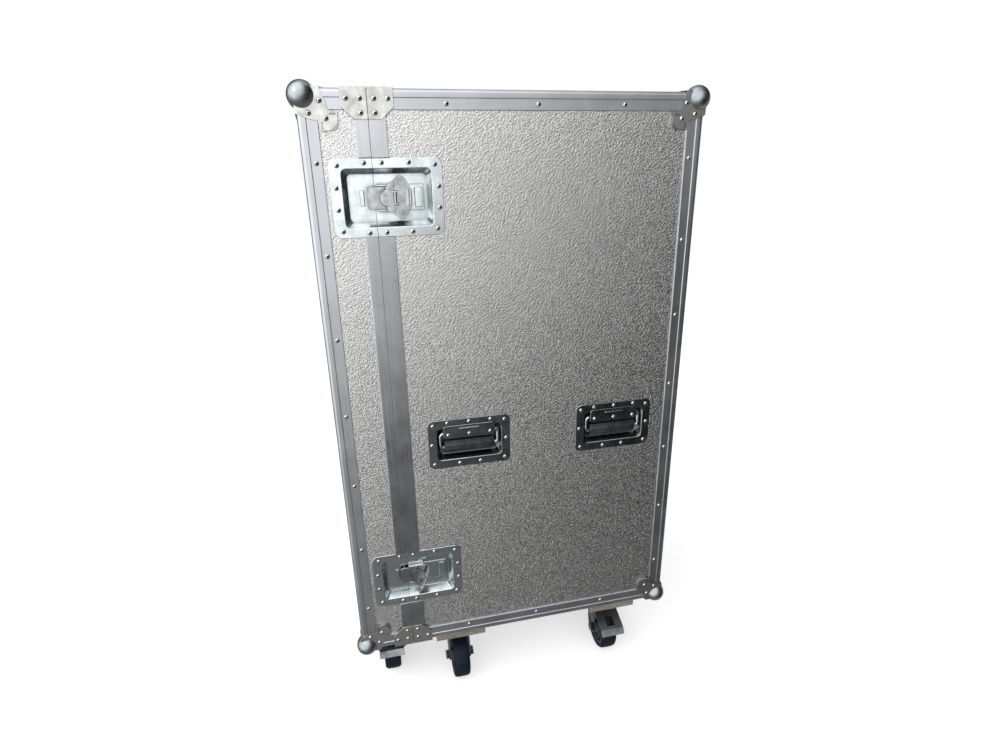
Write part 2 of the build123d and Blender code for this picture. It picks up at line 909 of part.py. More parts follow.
def edge_rivet_planes(outer_x, inward_x, long_edges):
    """Rivets along the flanges of the edge angles of one half."""
    end = "left" if inward_x > 0 else "right"
    x = outer_x + inward_x * rivet_line
    planes = []
    for z in spaced(case_bottom + 105, case_top - 105, 7):
        planes += [outer_face(side, x, z, -step_depth) for side in ("front", "back")]
        for y in (front + rivet_line, back - rivet_line):
            planes.append(outer_face(end, y, z, -step_depth))
    for y in spaced(front + 100, back - 100, 3):
        planes += [outer_face(side, x, y, -step_depth) for side in ("top", "bottom")]
        for z in (case_bottom + rivet_line, case_top - rivet_line):
            planes.append(outer_face(end, y, z, -step_depth))
    for x in spaced(left + 224, left + 522, 3) if long_edges else ():
        for z in (case_bottom + rivet_line, case_top - rivet_line):
            planes += [outer_face(side, x, z, -step_depth) for side in ("front", "back")]
        for y in (front + rivet_line, back - rivet_line):
            planes += [outer_face(side, x, y, -step_depth) for side in ("top", "bottom")]
    return planes


def corner_rivet_planes(outer_x, inward_x):
    """Three rivets on each leg plate of the four ball corners of one half."""
    end = "left" if inward_x > 0 else "right"
    planes = []
    for first, second in ((35, 18), (18, 35), (42, 42)):
        x = outer_x + inward_x * first
        for z in (case_bottom + second, case_top - second):
            planes += [outer_face(side, x, z, sheet) for side in ("front", "back")]
        for y in (front + second, back - second):
            planes += [outer_face(side, x, y, sheet) for side in ("top", "bottom")]
        for y in (front + first, back - first):
            for z in (case_bottom + second, case_top - second):
                planes.append(outer_face(end, y, z, sheet))
    return planes


def brace_rivet_planes(away_x):
    """Three rivets on each face of the split braces of one half."""
    planes = []
    for first, second in ((10.5, 14.5), (31, 14.5), (10.5, 34.5)):
        x = split_x + away_x * first
        for z in (case_bottom + second, case_top - second):
            planes += [outer_face(side, x, z, sheet) for side in ("front", "back")]
        for y in (front + second, back - second):
            planes += [outer_face(side, x, y, sheet) for side in ("top", "bottom")]
    return planes


def latch_rivet_planes(half):
    """Rivets on the flange of the latch dishes, for the lid or the body half."""
    right_side = ((118, 53), (160, 53), (201, 49.5), (206, 16.5))
    left_side = ((50, 49.5), (91, 53), (46, 16.5))
    places = left_side if half == "lid" else right_side
    planes = []
    for up in latch_heights.values():
        for along, offset in places:
            planes += [front_face(along, up + side * offset).offset(sheet) for side in (-1, 1)]
    return planes


def handle_rivet_planes():
    """Rivets on the handle dishes and on their straps."""
    flange = ((68, 39), (-68, 39), (68, -40), (-68, -40), (71, 0), (-71, 0))
    flange += ((-41, 42.5), (0, 42.5), (41, 42.5), (-20, -42), (20, -42))
    planes = []
    for plane in handle_planes().values():
        for level, places in ((sheet, flange), (2 * sheet, ((-40, 18.6), (0, 18.6), (40, 18.6)))):
            for x, y in places:
                origin = plane.from_local_coords((x, y, level))
                planes.append(Plane(origin=origin, z_dir=plane.z_dir))
    return planes


def under_board(plane):
    """Whether a rivet on the bottom face would sit under a castor board."""
    place = plane.origin
    if place.Z > case_bottom + 2 * sheet or plane.z_dir.Z > -0.5:
        return False
    for name, (x, _) in castor_places.items():
        half = name.split("_")[0]
        within_x = abs(place.X - x) < board_width[half] / 2 + rivet_radius
        low_y = front + board_gap[half] - rivet_radius
        if within_x and low_y < place.Y < front + back - low_y:
            return True
    return False


def rivets(planes):
    """Every rivet head of one half of the case."""
    head = rivet_head()
    with BuildPart() as heads:
        with Locations(*[plane.location for plane in planes if not under_board(plane)]):
            add(head)
    return heads


# --- build and write every piece


def castor_group(prefix):
    return {name: place for name, place in castor_places.items() if name.startswith(prefix)}


def write_body():
    panel_start = split_x + rail_web
    panel_end = right - wall
    save(long_panel("front", panel_start, panel_end, True, True), "body_front_panel")
    save(long_panel("back", panel_start, panel_end, False, True), "body_back_panel")
    save(level_panels(panel_start, panel_end), "body_top_and_bottom_panels")
    save(end_panel(right - wall), "body_end_panel")
    save(edge_angles(right, -1, split_x + body_rail_width), "body_edge_angles")
    save(split_rails(1, body_rail_width, False), "body_split_rails")
    with BuildPart() as corners:
        add(ball_corners().part.mirror(Plane.YZ))
    save(corners, "body_ball_corners")
    save(split_braces(1), "body_split_braces")
    planes = edge_rivet_planes(right, -1, True) + corner_rivet_planes(right, -1)
    planes += brace_rivet_planes(1) + latch_rivet_planes("body") + handle_rivet_planes()
    save(rivets(planes), "body_rivets")
    save(foam_lining(), "body_foam_lining")
    places = castor_group("body").values()
    board_x = sorted({x for x, _ in places})
    save(castor_boards(board_x, "body"), "body_castor_boards")
    save(castor_plates(places), "body_castor_plates")
    save(castor_fasteners(places), "body_castor_fasteners")
    save(latch_dishes("body"), "body_latch_dishes")
    save(hinge_leaves(1), "body_hinge_leaves")
    save(hinge_pins(), "hinge_pins")
    save(handle_dishes(), "handle_dishes")
    save(handle_straps(), "handle_straps")


def write_lid():
    panel_start = left + wall
    panel_end = split_x - rail_web
    save(long_panel("front", panel_start, panel_end, True, False), "lid_front_panel")
    save(long_panel("back", panel_start, panel_end, False, False), "lid_back_panel")
    save(level_panels(panel_start, panel_end), "lid_top_and_bottom_panels")
    save(end_panel(left + skin), "lid_end_panel")
    save(edge_angles(left, 1, split_x - lid_rail_width), "lid_edge_angles")
    save(split_rails(-1, lid_rail_width, True), "lid_split_rails")
    save(ball_corners(), "lid_ball_corners")
    save(split_braces(-1), "lid_split_braces")
    planes = edge_rivet_planes(left, 1, False) + corner_rivet_planes(left, 1)
    planes += brace_rivet_planes(-1) + latch_rivet_planes("lid")
    save(rivets(planes), "lid_rivets")
    places = castor_group("lid").values()
    save(castor_boards([left + lid_castor_along], "lid"), "lid_castor_board")
    save(castor_plates(places), "lid_castor_plates")
    save(castor_fasteners(places), "lid_castor_fasteners")
    save(latch_dishes("lid"), "lid_latch_dishes")
    save(hinge_leaves(-1), "lid_hinge_leaves")


def write_moving_parts():
    for name in latch_heights:
        save(latch_cam(name), f"{name}_latch_cam")
        save(latch_hook(name), f"{name}_latch_hook")
        save(latch_wing(name, name == "bottom"), f"{name}_latch_wing")
    for name, plane in handle_planes().items():
        save(handle_bail(plane), f"{name}_handle_bail")
        save(handle_grip(plane), f"{name}_handle_grip")
    for name, (x, y) in castor_places.items():
        fork = castor_fork(x, y)
        if name in braked_castors:
            fork = add_brake_pins(fork, x, y)
            save(brake_pedal(x, y), f"{name}_brake_pedal")
        save(fork, f"{name}_castor_fork")
        save(castor_wheel(x, y), f"{name}_castor_wheel")


write_body()
write_lid()
write_moving_parts()
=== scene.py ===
import json
from math import cos, pi, radians

import bmesh
import bpy
from mathutils import Matrix, Vector


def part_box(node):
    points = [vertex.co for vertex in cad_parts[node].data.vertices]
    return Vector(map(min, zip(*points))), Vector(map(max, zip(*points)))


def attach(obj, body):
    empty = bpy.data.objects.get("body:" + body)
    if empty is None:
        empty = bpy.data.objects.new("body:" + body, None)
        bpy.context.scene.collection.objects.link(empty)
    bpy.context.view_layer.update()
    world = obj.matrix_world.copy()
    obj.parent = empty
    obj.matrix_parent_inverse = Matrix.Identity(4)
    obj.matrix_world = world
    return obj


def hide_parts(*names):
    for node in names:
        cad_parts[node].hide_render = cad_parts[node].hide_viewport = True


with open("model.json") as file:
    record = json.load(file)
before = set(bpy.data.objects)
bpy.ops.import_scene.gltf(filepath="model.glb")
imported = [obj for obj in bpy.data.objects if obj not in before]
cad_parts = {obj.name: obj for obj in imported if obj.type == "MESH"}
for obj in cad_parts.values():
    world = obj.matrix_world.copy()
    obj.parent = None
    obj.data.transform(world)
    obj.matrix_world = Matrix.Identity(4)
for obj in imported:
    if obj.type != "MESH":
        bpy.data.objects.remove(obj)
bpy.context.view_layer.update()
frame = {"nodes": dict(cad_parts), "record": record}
cadNodes = frame["nodes"]
record = frame["record"]
nodeBody = {node: body for body, nodes in record["behaviour"]["bodies"].items() for node in nodes}
nodeSlot = {part["node"]: part["material_slot"] for part in record["subparts"]}

# the case without its castors, ball corners and hinges
bodyLow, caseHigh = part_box("body_edge_angles")
caseLow = Vector((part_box("lid_edge_angles")[0].x, bodyLow.y, bodyLow.z))
caseMiddle = (caseLow + caseHigh) / 2

cameraFacts = {  # lens in mm; place in metres from the low front left corner of the case
    "lens": 20.56,
    "sensorWidth": 36,
    "nearest": 0.01,
    "fromLeftEdge": 0.084,
    "inFront": 0.965,
    "aboveCaseBottom": 0.928,
    "right": (0.97412, -0.22530, -0.01813),
    "up": (0.09193, 0.32163, 0.94239),
    "back": (-0.20649, -0.91967, 0.33402),
}

lampFacts = {  # place, what it looks at, width across and power in watts
    "windowLamp": {"at": (-1.6, -1.3, 2.2), "aim": (-0.3, 0, 1.1), "size": 1.0, "power": 2.5},
    "roomLamp": {"at": (1.9, -2.4, 1.9), "aim": (0.1, 0, 0.6), "size": 2.2, "power": 0.3},
    "topLamp": {"at": (0.2, 0.4, 3.4), "aim": (0, 0, 0.6), "size": 2.4, "power": 8},
    "backLamp": {"at": (1.2, 2.6, 2.2), "aim": (0, 0, 0.6), "size": 2.0, "power": 14},
}


def linkObject(name, data):
    thing = bpy.data.objects.new(name, data)
    bpy.context.scene.collection.objects.link(thing)
    return thing


def placeCamera():
    camera = linkObject("mainCamera", bpy.data.cameras.new("mainCamera"))
    camera.data.lens = cameraFacts["lens"]
    camera.data.sensor_width = cameraFacts["sensorWidth"]
    camera.data.clip_start = cameraFacts["nearest"]
    axes = Matrix([cameraFacts[side] for side in ("right", "up", "back")]).transposed().to_4x4()
    place = (caseLow.x + cameraFacts["fromLeftEdge"], caseLow.y - cameraFacts["inFront"],
             caseLow.z + cameraFacts["aboveCaseBottom"])
    camera.matrix_world = Matrix.Translation(place) @ axes
    bpy.context.scene.camera = camera


def placeLamps():
    for name, facts in lampFacts.items():
        lamp = linkObject(name, bpy.data.lights.new(name, "AREA"))
        lamp.data.shape = "DISK"
        lamp.data.size = facts["size"]
        lamp.data.energy = facts["power"]
        lamp.location = facts["at"]
        sight = Vector(facts["aim"]) - Vector(facts["at"])
        lamp.rotation_euler = sight.to_track_quat("-Z", "Y").to_euler()


def newMaterial(name, colour, metallic, roughness):
    material = bpy.data.materials.new(name)
    material.use_nodes = True
    shader = material.node_tree.nodes["Principled BSDF"]
    shader.inputs["Base Color"].default_value = (*colour, 1)
    shader.inputs["Metallic"].default_value = metallic
    shader.inputs["Roughness"].default_value = roughness
    return material, material.node_tree, shader


def addNode(tree, kind, links=None, **settings):
    node = tree.nodes.new(kind)
    for key, value in settings.items():
        setattr(node, key, value)
    for key, value in (links or {}).items():
        if isinstance(value, bpy.types.NodeSocket):
            tree.links.new(value, node.inputs[key])
        else:
            node.inputs[key].default_value = value
    return node


def objectPlace(tree, scale=(1, 1, 1)):
    place = addNode(tree, "ShaderNodeTexCoord").outputs["Object"]
    return addNode(tree, "ShaderNodeMapping", {"Vector": place, "Scale": scale}).outputs[0]


def grainPlace(tree, scale):
    place = addNode(tree, "ShaderNodeUVMap", uv_map="grain").outputs[0]
    return addNode(tree, "ShaderNodeMapping", {"Vector": place, "Scale": scale}).outputs[0]


def noiseField(tree, place, scale, detail=3.0, roughness=0.5, distortion=0.0):
    links = {"Vector": place, "Scale": scale, "Detail": detail, "Roughness": roughness,
             "Distortion": distortion}
    return addNode(tree, "ShaderNodeTexNoise", links).outputs[0]


def spread(tree, value, low, high, fromLow=0.3, fromHigh=0.7):
    links = {"Value": value, "From Min": fromLow, "From Max": fromHigh,
             "To Min": low, "To Max": high}
    return addNode(tree, "ShaderNodeMapRange", links).outputs[0]


def tintField(tree, value, *stops):
    ramp = addNode(tree, "ShaderNodeValToRGB", {0: value})
    while len(ramp.color_ramp.elements) < len(stops):
        ramp.color_ramp.elements.new(0.5)
    for element, (position, colour) in zip(ramp.color_ramp.elements, stops):
        element.position = position
        element.color = (*colour, 1)
    return ramp.outputs[0]


def mathField(tree, operation, first, second):
    return addNode(tree, "ShaderNodeMath", {0: first, 1: second}, operation=operation).outputs[0]


def bumpField(tree, height, strength, distance):
    links = {"Height": height, "Strength": strength, "Distance": distance}
    return addNode(tree, "ShaderNodeBump", links).outputs[0]


def mixField(tree, how, share, first, second):
    links = {0: share, 1: first, 2: second}
    return addNode(tree, "ShaderNodeMixRGB", links, blend_type=how).outputs[0]


worldFacts = {
    "windowSide": (-0.58, -0.62, 0.53),  # high on the left in front
    "tones": (  # from the far side to the window
        (0.0, 0.5), (0.12, 0.35), (0.28, 0.03), (0.5, 0.015), (0.64, 0.03),
        (0.73, 0.30), (0.78, 1.3), (0.85, 1.7), (1.0, 1.7),
    ),
    "floorSide": (-0.45, 0, -0.9),
    "floorSpan": (0.27, 0.60),  # where its glow sets in and where it is full
    "floorGlow": 0.18,
    "backdrop": 1.0,
}


def towards(tree, direction, aim):
    links = {0: direction, 1: Vector(aim).normalized()}
    return addNode(tree, "ShaderNodeVectorMath", links, operation="DOT_PRODUCT").outputs["Value"]


def paintWorld():
    # a pale backdrop for the eye; reflections see a bright window side and a glow off the floor
    world = bpy.data.worlds.new("studio")
    world.use_nodes = True
    bpy.context.scene.world = world
    tree = world.node_tree
    direction = addNode(tree, "ShaderNodeTexCoord").outputs["Generated"]
    share = spread(tree, towards(tree, direction, worldFacts["windowSide"]), 0, 1, -1, 1)
    shade = addNode(tree, "ShaderNodeFloatCurve", {"Value": share})
    curve = shade.mapping.curves[0]
    tones = worldFacts["tones"]
    top = tones[-1][1]
    for index, (position, tone) in enumerate(tones):
        if 0 < index < len(tones) - 1:
            curve.points.new(position, tone / top)
        else:
            curve.points[0 if index == 0 else -1].location = (position, tone / top)
    shade.mapping.update()
    floorShare = towards(tree, direction, worldFacts["floorSide"])
    glow = spread(tree, floorShare, 0, worldFacts["floorGlow"], *worldFacts["floorSpan"])
    room = tree.nodes["Background"]
    lit = mathField(tree, "MULTIPLY", shade.outputs[0], top)
    tree.links.new(mathField(tree, "ADD", lit, glow), room.inputs["Color"])
    backdropColour = (worldFacts["backdrop"],) * 3 + (1,)
    backdrop = addNode(tree, "ShaderNodeBackground", {"Color": backdropColour})
    seen = addNode(tree, "ShaderNodeLightPath").outputs["Is Camera Ray"]
    links = {0: seen, 1: room.outputs[0], 2: backdrop.outputs[0]}
    choose = addNode(tree, "ShaderNodeMixShader", links)
    tree.links.new(choose.outputs[0], tree.nodes["World Output"].inputs["Surface"])


bpy.context.scene.view_settings.view_transform = "Standard"
placeCamera()
placeLamps()
paintWorld()
print("camera, lamps and world placed")


laminateFacts = {
    "colour": (0.80, 0.80, 0.80),
    "cells": 345,  # across a metre
    "stretch": (0.78, 1, 1.12),
    "sway": 0.012,  # how far noise pulls the cells out of line
    "swayScale": 190,
    "smoothness": 0.7,
    "domes": (0.05, 0.62),  # how far from its centre a cell's dome stays full, and where it ends
    "wrinkle": 0.9,
    "tintSpan": (0.2, 1.7),
    "tints": ((0, (0.70, 0.69, 0.68)), (0.35, (0.78, 0.78, 0.77)), (1, (0.85, 0.85, 0.84))),
    "patchScale": 3.5,
    "patches": (0.93, 1.0),
    "roughness": (0.15, 0.25),
    "relief": 0.00030,
}


def makeLaminate():
    # stucco-embossed aluminium: rounded cells with creases between them, the colour darkened in the
    # creases as painted shade
    material, tree, shader = newMaterial("stuccoLaminate", laminateFacts["colour"], 1.0, 0.24)
    place = objectPlace(tree, laminateFacts["stretch"])
    sway = noiseField(tree, place, laminateFacts["swayScale"], 2)
    links = {
        "Vector": mixField(tree, "ADD", laminateFacts["sway"], place, sway),
        "Scale": laminateFacts["cells"],
        "Smoothness": laminateFacts["smoothness"],
        "Randomness": 1.0,
    }
    cells = addNode(tree, "ShaderNodeTexVoronoi", links, feature="SMOOTH_F1").outputs["Distance"]
    wrinkle = noiseField(tree, place, laminateFacts["cells"] * 1.5, 2, 0.6, 0.8)
    domes = spread(tree, cells, 1.0, 0.0, *laminateFacts["domes"])
    height = mathField(tree, "ADD", domes, spread(tree, wrinkle, 0, laminateFacts["wrinkle"]))
    # painted shade: the colour follows the emboss height, darkest in the creases between cells
    depth = spread(tree, height, 0, 1, *laminateFacts["tintSpan"])
    shade = tintField(tree, depth, *laminateFacts["tints"])
    cloud = noiseField(tree, place, laminateFacts["patchScale"], 3)
    patches = spread(tree, cloud, *laminateFacts["patches"])
    tree.links.new(mixField(tree, "MULTIPLY", 1.0, shade, patches), shader.inputs["Base Color"])
    tree.links.new(spread(tree, wrinkle, *laminateFacts["roughness"]), shader.inputs["Roughness"])
    tree.links.new(bumpField(tree, height, 1.0, laminateFacts["relief"]), shader.inputs["Normal"])
    return material


brushedFacts = {
    "lines": (4, 1500, 1),  # noise steps in a metre, along and across each bar
    "cloudScale": 14,
    "lineShare": 0.6,
    "cloudShare": 0.4,
    "smudge": 0.08,
    "relief": 0.00003,
}


def makeBrushedMetal(name, dark, light, roughness):
    # fine lines along each bar, from the piece's own grain map
    material, tree, shader = newMaterial(name, light, 1.0, roughness)
    lines = noiseField(tree, grainPlace(tree, brushedFacts["lines"]), 1.0, 4, 0.7)
    cloud = noiseField(tree, objectPlace(tree), brushedFacts["cloudScale"], 4, 0.6)
    linePart = mathField(tree, "MULTIPLY", lines, brushedFacts["lineShare"])
    cloudPart = mathField(tree, "MULTIPLY", cloud, brushedFacts["cloudShare"])
    blend = mathField(tree, "ADD", linePart, cloudPart)
    smudge = brushedFacts["smudge"]
    wear = (roughness - smudge, roughness + smudge)
    tree.links.new(tintField(tree, blend, (0.35, dark), (0.62, light)), shader.inputs["Base Color"])
    tree.links.new(spread(tree, blend, *wear), shader.inputs["Roughness"])
    tree.links.new(bumpField(tree, lines, 0.35, brushedFacts["relief"]), shader.inputs["Normal"])
    return material


pressedFacts = {
    "pitScale": 900,
    "pitShare": 0.25,
    "duller": 0.09,  # roughness added where the metal is dark
    "shinier": 0.07,  # roughness taken off where it is light
    "relief": 0.0001,
}
occlusionShadeFacts = {  # painted shade in the places where parts meet
    "reach": 0.008,
    "darkest": 0.12,
    "span": (0.45, 0.92),
}


def makePressedMetal(name, dark, light, roughness, grain=60):
    # plated sheet: cloudy tone, faint pitting, a few rubbed spots, and painted shade where parts
    # meet
    material, tree, shader = newMaterial(name, light, 1.0, roughness)
    place = objectPlace(tree)
    cloud = noiseField(tree, place, grain, 5, 0.6)
    pits = noiseField(tree, place, pressedFacts["pitScale"], 2)
    tint = tintField(tree, cloud, (0.32, dark), (0.66, light))
    # painted shade: ambient occlusion darkens the colour where parts meet
    links = {"Distance": occlusionShadeFacts["reach"]}
    openness = addNode(tree, "ShaderNodeAmbientOcclusion", links, samples=8).outputs["AO"]
    occlusionShade = spread(tree, openness, occlusionShadeFacts["darkest"], 1.0, *occlusionShadeFacts["span"])
    tree.links.new(mixField(tree, "MULTIPLY", 1.0, tint, occlusionShade), shader.inputs["Base Color"])
    wear = (roughness + pressedFacts["duller"], roughness - pressedFacts["shinier"])
    tree.links.new(spread(tree, cloud, *wear), shader.inputs["Roughness"])
    pitPart = mathField(tree, "MULTIPLY", pits, pressedFacts["pitShare"])
    height = mathField(tree, "ADD", pitPart, cloud)
    tree.links.new(bumpField(tree, height, 0.25, pressedFacts["relief"]), shader.inputs["Normal"])
    return material


treadFacts = {
    "colour": (0.009, 0.02, 0.04),
    "gloss": 0.2,
    "tints": (
        (0.35, (0.002, 0.006, 0.013)),
        (0.62, (0.004, 0.011, 0.021)),
        (0.82, (0.02, 0.028, 0.036)),
    ),
    "dustScale": 55,
    "roughness": (0.42, 0.68),
    "skinScale": 700,
    "relief": 0.0002,
}


def makeTread():
    # blue elastomer, dusty from the ground
    material, tree, shader = newMaterial("blueTread", treadFacts["colour"], 0, 0.5)
    shader.inputs["Specular IOR Level"].default_value = treadFacts["gloss"]
    place = objectPlace(tree)
    dust = noiseField(tree, place, treadFacts["dustScale"], 6, 0.7)
    tree.links.new(tintField(tree, dust, *treadFacts["tints"]), shader.inputs["Base Color"])
    tree.links.new(spread(tree, dust, *treadFacts["roughness"]), shader.inputs["Roughness"])
    skin = noiseField(tree, place, treadFacts["skinScale"], 3)
    tree.links.new(bumpField(tree, skin, 0.3, treadFacts["relief"]), shader.inputs["Normal"])
    return material


mouldedFacts = {
    "dustScale": 70,
    "shinier": 0.06,
    "duller": 0.14,
    "skinScale": 600,
    "relief": 0.0001,
}


def makeMoulded(name, dark, light, roughness):
    # moulded nylon or rubber with a fine skin and a little dust
    material, tree, shader = newMaterial(name, dark, 0, roughness)
    place = objectPlace(tree)
    dust = noiseField(tree, place, mouldedFacts["dustScale"], 5, 0.65)
    tree.links.new(tintField(tree, dust, (0.40, dark), (0.75, light)), shader.inputs["Base Color"])
    wear = (roughness - mouldedFacts["shinier"], roughness + mouldedFacts["duller"])
    tree.links.new(spread(tree, dust, *wear), shader.inputs["Roughness"])
    skin = noiseField(tree, place, mouldedFacts["skinScale"], 3)
    tree.links.new(bumpField(tree, skin, 0.3, mouldedFacts["relief"]), shader.inputs["Normal"])
    return material


plywoodFacts = {
    "colour": (0.20, 0.18, 0.16),
    "tints": (
        (0.34, (0.085, 0.075, 0.065)),
        (0.55, (0.19, 0.17, 0.15)),
        (0.75, (0.30, 0.27, 0.24)),
    ),
    "twoPlies": 0.0028,  # a light and a dark ply together, in metres
    "plyShare": 0.14,
    "fibres": (60, 6, 900),
    "roughness": (0.5, 0.72),
    "relief": 0.0002,
}


def makePlywood():
    # birch plies on the edges, long grain on the faces
    material, tree, shader = newMaterial("castorPlywood", plywoodFacts["colour"], 0, 0.6)
    place = addNode(tree, "ShaderNodeTexCoord").outputs["Object"]
    height = addNode(tree, "ShaderNodeSeparateXYZ", {0: place}).outputs["Z"]
    phase = mathField(tree, "MULTIPLY", height, 2 * pi / plywoodFacts["twoPlies"])
    plies = addNode(tree, "ShaderNodeMath", {0: phase}, operation="SINE").outputs[0]
    fibres = noiseField(tree, objectPlace(tree, plywoodFacts["fibres"]), 1.0, 5, 0.6, 0.4)
    plyPart = mathField(tree, "MULTIPLY", plies, plywoodFacts["plyShare"])
    tone = mathField(tree, "ADD", plyPart, fibres)
    tree.links.new(tintField(tree, tone, *plywoodFacts["tints"]), shader.inputs["Base Color"])
    tree.links.new(spread(tree, fibres, *plywoodFacts["roughness"]), shader.inputs["Roughness"])
    tree.links.new(bumpField(tree, tone, 0.4, plywoodFacts["relief"]), shader.inputs["Normal"])
    return material


foamLook = {
    "colour": (0.035, 0.035, 0.04),
    "tints": ((0.05, (0.012, 0.012, 0.014)), (0.45, (0.06, 0.06, 0.066))),
    "poreScale": 700,
    "cloudScale": 30,
    "relief": 0.0006,
    "sheen": 0.25,
}


def makeFoam():
    # matt dark foam with open pores, painted shade darkening the pores and a random cloud of tone
    material, tree, shader = newMaterial("liningFoam", foamLook["colour"], 0, 0.95)
    place = objectPlace(tree)
    links = {"Vector": place, "Scale": foamLook["poreScale"]}
    pores = addNode(tree, "ShaderNodeTexVoronoi", links).outputs["Distance"]
    cloud = noiseField(tree, place, foamLook["cloudScale"], 4)
    # painted shade darkens the pores where the bump is lowest; the cloud adds random tone
    tone = mathField(tree, "MULTIPLY", pores, cloud)
    tree.links.new(tintField(tree, tone, *foamLook["tints"]), shader.inputs["Base Color"])
    tree.links.new(bumpField(tree, pores, 0.7, foamLook["relief"]), shader.inputs["Normal"])
    shader.inputs["Sheen Weight"].default_value = foamLook["sheen"]
    return material


metalLooks = {  # dark tint, light tint, roughness, and for pressed metal how fine its clouds are
    "satinAluminium": ((0.47, 0.49, 0.52), (0.67, 0.69, 0.72), 0.38),
    "railAluminium": ((0.36, 0.38, 0.40), (0.62, 0.64, 0.66), 0.30),
    "zincSteel": ((0.50, 0.50, 0.48), (0.70, 0.70, 0.68), 0.36),
    "rivetSteel": ((0.60, 0.60, 0.58), (0.82, 0.82, 0.80), 0.30, 300),
    # painted shade: near-black for the dimples in the rivet heads
    "shadedRivetPit": ((0.02, 0.02, 0.024), (0.07, 0.07, 0.075), 0.5, 300),
    "galvanisedSteel": ((0.11, 0.12, 0.13), (0.26, 0.27, 0.28), 0.34, 45),
    "boltSteel": ((0.30, 0.30, 0.29), (0.54, 0.54, 0.52), 0.28, 200),
    "dishZinc": ((0.62, 0.69, 0.71), (0.78, 0.82, 0.83), 0.22, 40),
    "latchZinc": ((0.34, 0.36, 0.37), (0.56, 0.58, 0.59), 0.26, 80),
    "cornerSteel": ((0.30, 0.33, 0.35), (0.48, 0.51, 0.53), 0.36, 40),
    # painted shade: a darker copy of the dish zinc for the handle dishes and straps
    "shadedHandleZinc": ((0.30, 0.34, 0.36), (0.50, 0.54, 0.56), 0.24, 40),
}
mouldedLooks = {  # bare tint, dusty tint, roughness
    "gripRubber": ((0.008, 0.011, 0.014), (0.035, 0.040, 0.045), 0.38),
    "hubNylon": ((0.03, 0.034, 0.04), (0.10, 0.105, 0.11), 0.45),
}


def brushed(name):
    return makeBrushedMetal(name, *metalLooks[name])


def pressed(name):
    return makePressedMetal(name, *metalLooks[name])


def moulded(name):
    return makeMoulded(name, *mouldedLooks[name])


slotMaterial = {
    "laminate_panel": makeLaminate(),
    "satin_aluminium": brushed("satinAluminium"),
    "zinc_steel": pressed("zincSteel"),
    "rivet_steel": pressed("rivetSteel"),
    "grey_foam": makeFoam(),
    "plywood": makePlywood(),
    "galvanised_steel": pressed("galvanisedSteel"),
    "bolt_steel": pressed("boltSteel"),
    "blue_tread": makeTread(),
    "dish_zinc": pressed("dishZinc"),
    "latch_zinc": pressed("latchZinc"),
    "black_rubber": moulded("gripRubber"),
}
cornerSteel = pressed("cornerSteel")
shadedHandleZinc = pressed("shadedHandleZinc")
railAluminium = brushed("railAluminium")
shadedRivetPit = pressed("shadedRivetPit")
hubNylon = moulded("hubNylon")
print("materials made")


def finishPiece(name, mesh, material, body, replaced=(), sharp=35):
    piece = linkObject(name, mesh)
    mesh.materials.append(material)
    for face in mesh.polygons:
        face.use_smooth = True
    mesh.set_sharp_from_angle(angle=radians(sharp))
    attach(piece, body)
    if replaced:
        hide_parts(*replaced)
    return piece


def meshFrom(shape, name):
    mesh = bpy.data.meshes.new(name)
    bmesh.ops.recalc_face_normals(shape, faces=shape.faces[:])
    shape.to_mesh(mesh)
    shape.free()
    return mesh


def islandsOf(shape):
    # groups of joined vertices, one for each separate solid
    seen = set()
    islands = []
    for start in shape.verts:
        if start in seen:
            continue
        island = [start]
        seen.add(start)
        for vert in island:
            for edge in vert.link_edges:
                other = edge.other_vert(vert)
                if other not in seen:
                    seen.add(other)
                    island.append(other)
        islands.append(island)
    return islands


def islandBox(island):
    low = Vector([min(vert.co[i] for vert in island) for i in range(3)])
    high = Vector([max(vert.co[i] for vert in island) for i in range(3)])
    return low, high


def mergedCopy(node):
    shape = bmesh.new()
    shape.from_mesh(cadNodes[node].data)
    bmesh.ops.remove_doubles(shape, verts=shape.verts[:], dist=0.00002)
    return shape


grainLean = 1.37  # keeps the lines on one side of a bar from carrying on over the next


def addGrain(shape):
    # u runs along the longest side of each solid, v across it
    layer = shape.loops.layers.uv.new("grain")
    for island in islandsOf(shape):
        low, high = islandBox(island)
        size = high - low
        along = max(range(3), key=lambda i: size[i])
        across = [i for i in range(3) if i != along]
        for vert in island:
            side = vert.co[across[0]] + grainLean * vert.co[across[1]]
            for loop in vert.link_loops:
                loop[layer].uv = (vert.co[along], side)


edgeRounding = {  # metres, for copies of the metal parts, the boards and the end panels
    "edge_angles": 0.0006, "split_rails": 0.0009, "ball_corners": 0.0006, "split_braces": 0.0004,
    "latch_dishes": 0.0009, "handle_dishes": 0.0011, "handle_straps": 0.0005, "latch_cam": 0.0003,
    "latch_hook": 0.0004, "latch_wing": 0.0004, "hinge_leaves": 0.0004, "hinge_pins": 0.0004,
    "castor_fork": 0.0006, "brake_pedal": 0.0005, "castor_plates": 0.0005,
    "castor_fasteners": 0.0005, "castor_board": 0.0012, "end_panel": 0.0005,
    "handle_bail": 0.0003,
}
roundingFacts = {"segments": 2, "sharperThan": 32, "flatWithin": 1.0}  # angles in degrees
ownFinish = {  # parts that take another finish than the rest of their slot; the handle dishes and straps take a darker copy of the dish zinc, painted shade
    "split_rails": railAluminium,
    "handle_dishes": shadedHandleZinc,
    "handle_straps": shadedHandleZinc,
}
ballFacts = {"radius": 0.0215, "outside": 0.0001, "inside": 0.0004}  # metres


